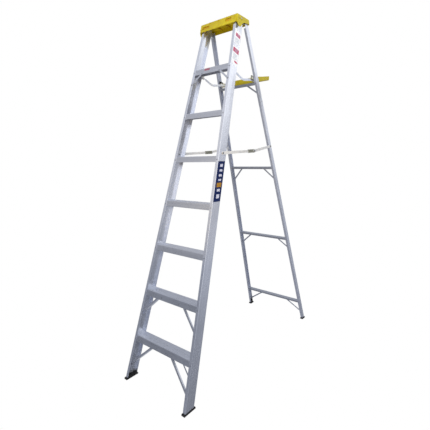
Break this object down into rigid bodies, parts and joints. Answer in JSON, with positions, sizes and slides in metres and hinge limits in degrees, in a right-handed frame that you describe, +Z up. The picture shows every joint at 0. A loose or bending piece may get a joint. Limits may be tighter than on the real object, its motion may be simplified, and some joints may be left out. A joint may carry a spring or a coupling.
{
  "type": "step ladder",
  "caption": "Aluminium step ladder with flat treads, folding spreaders, a moulded top cap and a hinged tool tray.",
  "frame": {"origin": "on the floor, below the centre of the bounding box", "axes": "+X to the right of a person who faces the steps, +Y from the steps to the rear legs, +Z up"},
  "size_m": [0.6376, 1.311, 2.37],
  "materials": {
    "aluminium": "satin",
    "tread_aluminium": "satin",
    "zinc_steel": "satin",
    "sleeve_plastic": "matte",
    "yellow_plastic": "satin",
    "rubber": "matte"
  },
  "bodies": {
    "front_frame": {"front_rail_left": "aluminium", "front_rail_right": "aluminium", "step_1": "tread_aluminium", "step_2": "tread_aluminium", "step_3": "tread_aluminium", "step_4": "tread_aluminium", "step_5": "tread_aluminium", "step_6": "tread_aluminium", "step_7": "tread_aluminium", "top_cap": "yellow_plastic", "front_foot_left": "rubber", "front_foot_right": "rubber", "step_1_brace_front_left": "aluminium", "step_1_brace_front_right": "aluminium", "step_1_brace_rear_left": "aluminium", "step_1_brace_rear_right": "aluminium", "step_2_brace_front_left": "aluminium", "step_2_brace_front_right": "aluminium", "step_7_brace_left": "aluminium", "step_7_brace_right": "aluminium", "hinge_bracket_left": "zinc_steel", "hinge_bracket_right": "zinc_steel", "hinge_bolt_left": "zinc_steel", "hinge_bolt_right": "zinc_steel", "tray_lug_left": "zinc_steel", "tray_lug_right": "zinc_steel", "spreader_rivet_front_left": "zinc_steel", "spreader_rivet_front_right": "zinc_steel"},
    "rear_frame": {"rear_rail_left": "aluminium", "rear_rail_right": "aluminium", "rear_bar_1": "aluminium", "rear_bar_2": "aluminium", "rear_bar_3": "aluminium", "rear_bar_4": "aluminium", "rear_brace_1_left": "aluminium", "rear_brace_1_right": "aluminium", "rear_brace_2_left": "aluminium", "rear_brace_2_right": "aluminium", "rear_brace_3_left": "aluminium", "rear_brace_3_right": "aluminium", "rear_brace_4_left": "aluminium", "rear_brace_4_right": "aluminium", "rear_foot_left": "rubber", "rear_foot_right": "rubber", "spreader_rivet_rear_left": "zinc_steel", "spreader_rivet_rear_right": "zinc_steel"},
    "tray": {"tray": "yellow_plastic", "tray_link_left": "zinc_steel", "tray_link_right": "zinc_steel", "tray_hanger_left": "zinc_steel", "tray_hanger_right": "zinc_steel"},
    "spreader_front_left": {"spreader_front_left": "aluminium", "spreader_sleeve_left": "sleeve_plastic"},
    "spreader_rear_left": {"spreader_rear_left": "aluminium", "spreader_knuckle_left": "zinc_steel"},
    "spreader_front_right": {"spreader_front_right": "aluminium", "spreader_sleeve_right": "sleeve_plastic"},
    "spreader_rear_right": {"spreader_rear_right": "aluminium", "spreader_knuckle_right": "zinc_steel"}
  },
  "joints": [
    {"name": "rear_frame_hinge", "type": "hinge", "parent": "front_frame", "child": "rear_frame", "pos_m": [0, 0.1311, 2.338], "axis": [-1, 0, 0], "range_deg": [0, 28.7]},
    {"name": "spreader_front_left_pivot", "type": "hinge", "parent": "front_frame", "child": "spreader_front_left", "pos_m": [-0.2136, -0.1846, 1.47], "axis": [1, 0, 0], "range_deg": [0, 62.78]},
    {"name": "spreader_rear_left_pivot", "type": "hinge", "parent": "rear_frame", "child": "spreader_rear_left", "pos_m": [-0.2202, 0.3043, 1.5356], "axis": [-1, 0, 0], "range_deg": [0, 82.92]},
    {"name": "spreader_front_right_pivot", "type": "hinge", "parent": "front_frame", "child": "spreader_front_right", "pos_m": [0.2136, -0.1846, 1.47], "axis": [1, 0, 0], "range_deg": [0, 62.78]},
    {"name": "spreader_rear_right_pivot", "type": "hinge", "parent": "rear_frame", "child": "spreader_rear_right", "pos_m": [0.2202, 0.3043, 1.5356], "axis": [-1, 0, 0], "range_deg": [0, 82.92]},
    {"name": "tray_pivot", "type": "hinge", "parent": "front_frame", "child": "tray", "pos_m": [0, 0.018, 2.01], "axis": [1, 0, 0], "range_deg": [0, 55.01]}
  ],
  "couplings": [
    {"joint": "spreader_front_left_pivot", "follows": "rear_frame_hinge", "ratio": 2.1876},
    {"joint": "spreader_rear_left_pivot", "follows": "rear_frame_hinge", "ratio": 2.8893},
    {"joint": "spreader_front_right_pivot", "follows": "rear_frame_hinge", "ratio": 2.1876},
    {"joint": "spreader_rear_right_pivot", "follows": "rear_frame_hinge", "ratio": 2.8893},
    {"joint": "tray_pivot", "follows": "rear_frame_hinge", "ratio": 1.9164}
  ]
}
